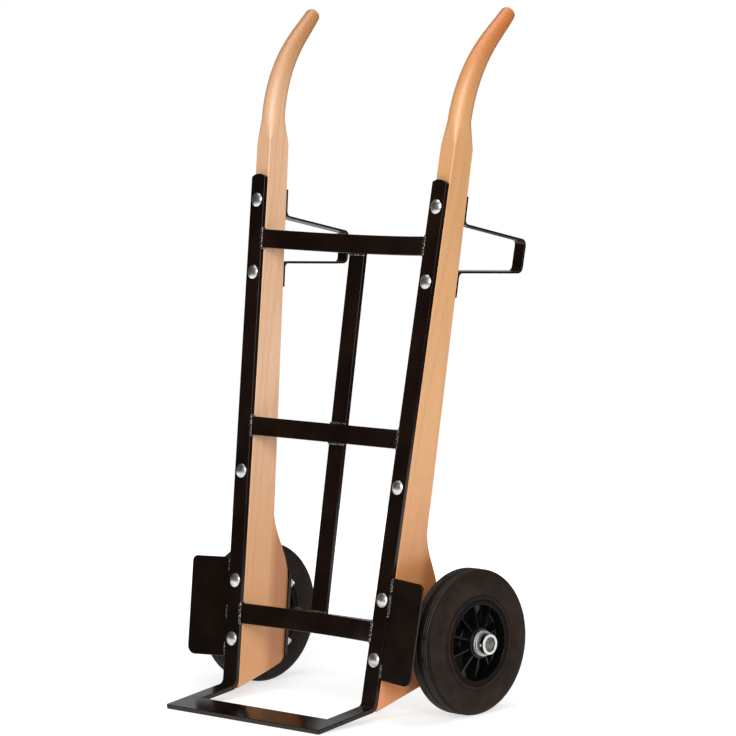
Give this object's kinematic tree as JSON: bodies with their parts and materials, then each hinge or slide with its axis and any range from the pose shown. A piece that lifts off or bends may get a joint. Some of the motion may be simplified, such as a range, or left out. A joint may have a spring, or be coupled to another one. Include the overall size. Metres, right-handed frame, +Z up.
{
  "type": "wooden sack truck",
  "caption": "Wooden sack truck with back-curved handles, bolted flat iron frame with bowed crossbars, small toe, rest loops, wheel guards and solid rubber wheels on a through axle.",
  "frame": {"origin": "on the floor under the middle of the whole truck, standing on its wheels and toe", "axes": "+X to the right seen from the load side, +Y from the load side to the handles and rest loops, +Z up"},
  "size_m": [0.5952, 0.482, 1.1776],
  "materials": {
    "wood": "clear varnished beech",
    "black_iron": "gloss black paint",
    "zinc": "bright zinc plate",
    "tyre_rubber": "moulded solid rubber",
    "black_plastic": "moulded plastic"
  },
  "bodies": {
    "frame": {"shaft_left": "wood", "shaft_right": "wood", "stile_left": "black_iron", "stile_right": "black_iron", "toe_bar": "black_iron", "crossbar_top": "black_iron", "crossbar_middle": "black_iron", "crossbar_bottom": "black_iron", "centre_bar": "black_iron", "wheel_guard_left": "black_iron", "wheel_guard_right": "black_iron", "rest_leg_left": "black_iron", "rest_leg_right": "black_iron", "axle_bracket_left": "black_iron", "axle_bracket_right": "black_iron", "axle": "black_iron", "axle_spacers": "black_iron", "upper_rest_bolts": "zinc", "lower_rest_bolts": "zinc", "middle_bolts": "zinc", "axle_bolts": "zinc", "middle_bolt_washers": "zinc", "middle_bolt_nuts": "zinc", "axle_bolt_washers": "zinc", "axle_bolt_nuts": "zinc", "rest_washers": "zinc", "inner_wheel_washers": "zinc", "outer_wheel_washers": "zinc", "axle_collars": "zinc", "axle_pins": "zinc"},
    "left_wheel": {"tyre_left": "tyre_rubber", "wheel_centre_left": "black_plastic", "hub_bush_left": "zinc"},
    "right_wheel": {"tyre_right": "tyre_rubber", "wheel_centre_right": "black_plastic", "hub_bush_right": "zinc"}
  },
  "joints": [
    {"name": "left_wheel_spin", "type": "hinge", "parent": "frame", "child": "left_wheel", "pos_m": [-0.25, 0.05199, 0.123], "axis": [1, 0, 0], "continuous": true},
    {"name": "right_wheel_spin", "type": "hinge", "parent": "frame", "child": "right_wheel", "pos_m": [0.25, 0.05199, 0.123], "axis": [1, 0, 0], "continuous": true}
  ]
}
